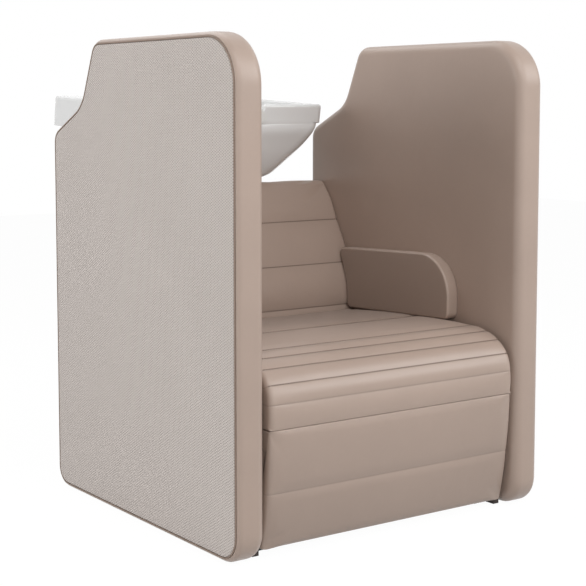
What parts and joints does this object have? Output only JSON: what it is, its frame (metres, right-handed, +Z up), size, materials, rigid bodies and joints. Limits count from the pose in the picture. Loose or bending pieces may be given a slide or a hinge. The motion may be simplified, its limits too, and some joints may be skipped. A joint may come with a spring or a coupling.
{
  "type": "hair washing bed",
  "caption": "Salon hair washing chair: upholstered seat and backrest between tall padded side panels, with a tilting ceramic basin on a column behind.",
  "frame": {"origin": "middle of the footprint, on the floor", "axes": "+X to the right seen from the front of the seat, +Y from the seat towards the basin, +Z up"},
  "size_m": [0.93, 1.24, 1.2],
  "materials": {
    "leatherette": "satin",
    "mesh_fabric": "matt",
    "piping": "satin",
    "plywood": "matt",
    "laminate": "matt",
    "black_steel": "satin",
    "zinc_steel": "satin",
    "chromed": "polished",
    "brass": "satin",
    "glazed": "gloss",
    "rubber": "matt",
    "neck_gel": "satin",
    "white_plastic": "gloss",
    "black_plastic": "satin",
    "red_plastic": "satin",
    "blue_plastic": "satin"
  },
  "bodies": {
    "frame": {"apron_cushion": "leatherette", "armrest_bolts": "zinc_steel", "backrest_board": "plywood", "backrest_cushion": "leatherette", "basin_bracket": "black_steel", "cabinet_cap": "plywood", "column_bolts": "zinc_steel", "floor_angle_screws": "zinc_steel", "front_board": "plywood", "hinge_pin": "zinc_steel", "left_armrest": "leatherette", "left_cheek": "plywood", "left_floor_angle": "black_steel", "left_panel_board": "plywood", "left_panel_cover": "leatherette", "left_panel_fabric": "mesh_fabric", "left_panel_piping": "piping", "left_rear_post": "plywood", "lower_cross_rail": "plywood", "mid_board": "plywood", "panel_bolts": "zinc_steel", "panel_glides": "rubber", "pipe_clip": "white_plastic", "right_armrest": "leatherette", "right_cheek": "plywood", "right_floor_angle": "black_steel", "right_panel_board": "plywood", "right_panel_cover": "leatherette", "right_panel_fabric": "mesh_fabric", "right_panel_piping": "piping", "right_rear_post": "plywood", "seat_cushion": "leatherette", "seat_deck": "plywood", "service_panel_catches": "white_plastic", "stop_valves": "brass", "support_column": "black_steel", "upper_cross_rail": "plywood", "valve_plate": "zinc_steel", "waste_pipe": "white_plastic", "waste_trap": "white_plastic"},
    "service_panel": {"service_panel": "laminate", "service_panel_studs": "zinc_steel"},
    "lock_lever": {"tilt_lock_lever": "black_plastic"},
    "basin": {"basin": "glazed", "basin_cradle": "black_steel", "cradle_pads": "rubber", "cradle_bolts": "zinc_steel", "cradle_bushes": "white_plastic", "waste_fitting": "chromed", "waste_nut": "white_plastic", "mixer_body": "chromed", "deck_nuts": "brass", "shower_collar": "chromed"},
    "neck_rest": {"neck_rest": "neck_gel"},
    "strainer": {"strainer": "chromed"},
    "mixer_cap": {"mixer_cap": "chromed"},
    "mixer_lever": {"mixer_lever": "chromed"},
    "hand_shower": {"hand_shower": "chromed"},
    "hot_knob": {"hot_valve_knob": "red_plastic"},
    "cold_knob": {"cold_valve_knob": "blue_plastic"}
  },
  "joints": [
    {"name": "service_panel_pull", "type": "slide", "parent": "frame", "child": "service_panel", "axis": [0, 1, 0], "range_m": [0, 0.25]},
    {"name": "lock_lever_turn", "type": "hinge", "parent": "frame", "child": "lock_lever", "pos_m": [0, 0.31, 0.775], "axis": [1, 0, 0], "range_deg": [0, 50]},
    {"name": "basin_tilt", "type": "hinge", "parent": "frame", "child": "basin", "pos_m": [0, 0.31, 0.775], "axis": [-1, 0, 0], "range_deg": [-3, 12]},
    {"name": "neck_rest_lift", "type": "slide", "parent": "basin", "child": "neck_rest", "axis": [0, -0.0489, 0.9988], "range_m": [0, 0.12]},
    {"name": "strainer_lift", "type": "slide", "parent": "basin", "child": "strainer", "axis": [0, -0.0489, 0.9988], "range_m": [0, 0.04]},
    {"name": "mixer_swivel", "type": "hinge", "parent": "basin", "child": "mixer_cap", "pos_m": [-0.095, 0.55441, 1.12079], "axis": [0, -0.0489, 0.9988], "range_deg": [-50, 50]},
    {"name": "mixer_lever_lift", "type": "hinge", "parent": "mixer_cap", "child": "mixer_lever", "pos_m": [-0.095, 0.55382, 1.13282], "axis": [1, 0, 0], "range_deg": [0, 25]},
    {"name": "hand_shower_lift", "type": "slide", "parent": "basin", "child": "hand_shower", "axis": [0, -0.0489, 0.9988], "range_m": [0, 0.15]},
    {"name": "hot_knob_turn", "type": "hinge", "parent": "frame", "child": "hot_knob", "pos_m": [-0.19, 0.105, 0.28], "axis": [0, 1, 0], "range_deg": [0, 90]},
    {"name": "cold_knob_turn", "type": "hinge", "parent": "frame", "child": "cold_knob", "pos_m": [-0.09, 0.105, 0.28], "axis": [0, 1, 0], "range_deg": [0, 90]}
  ]
}
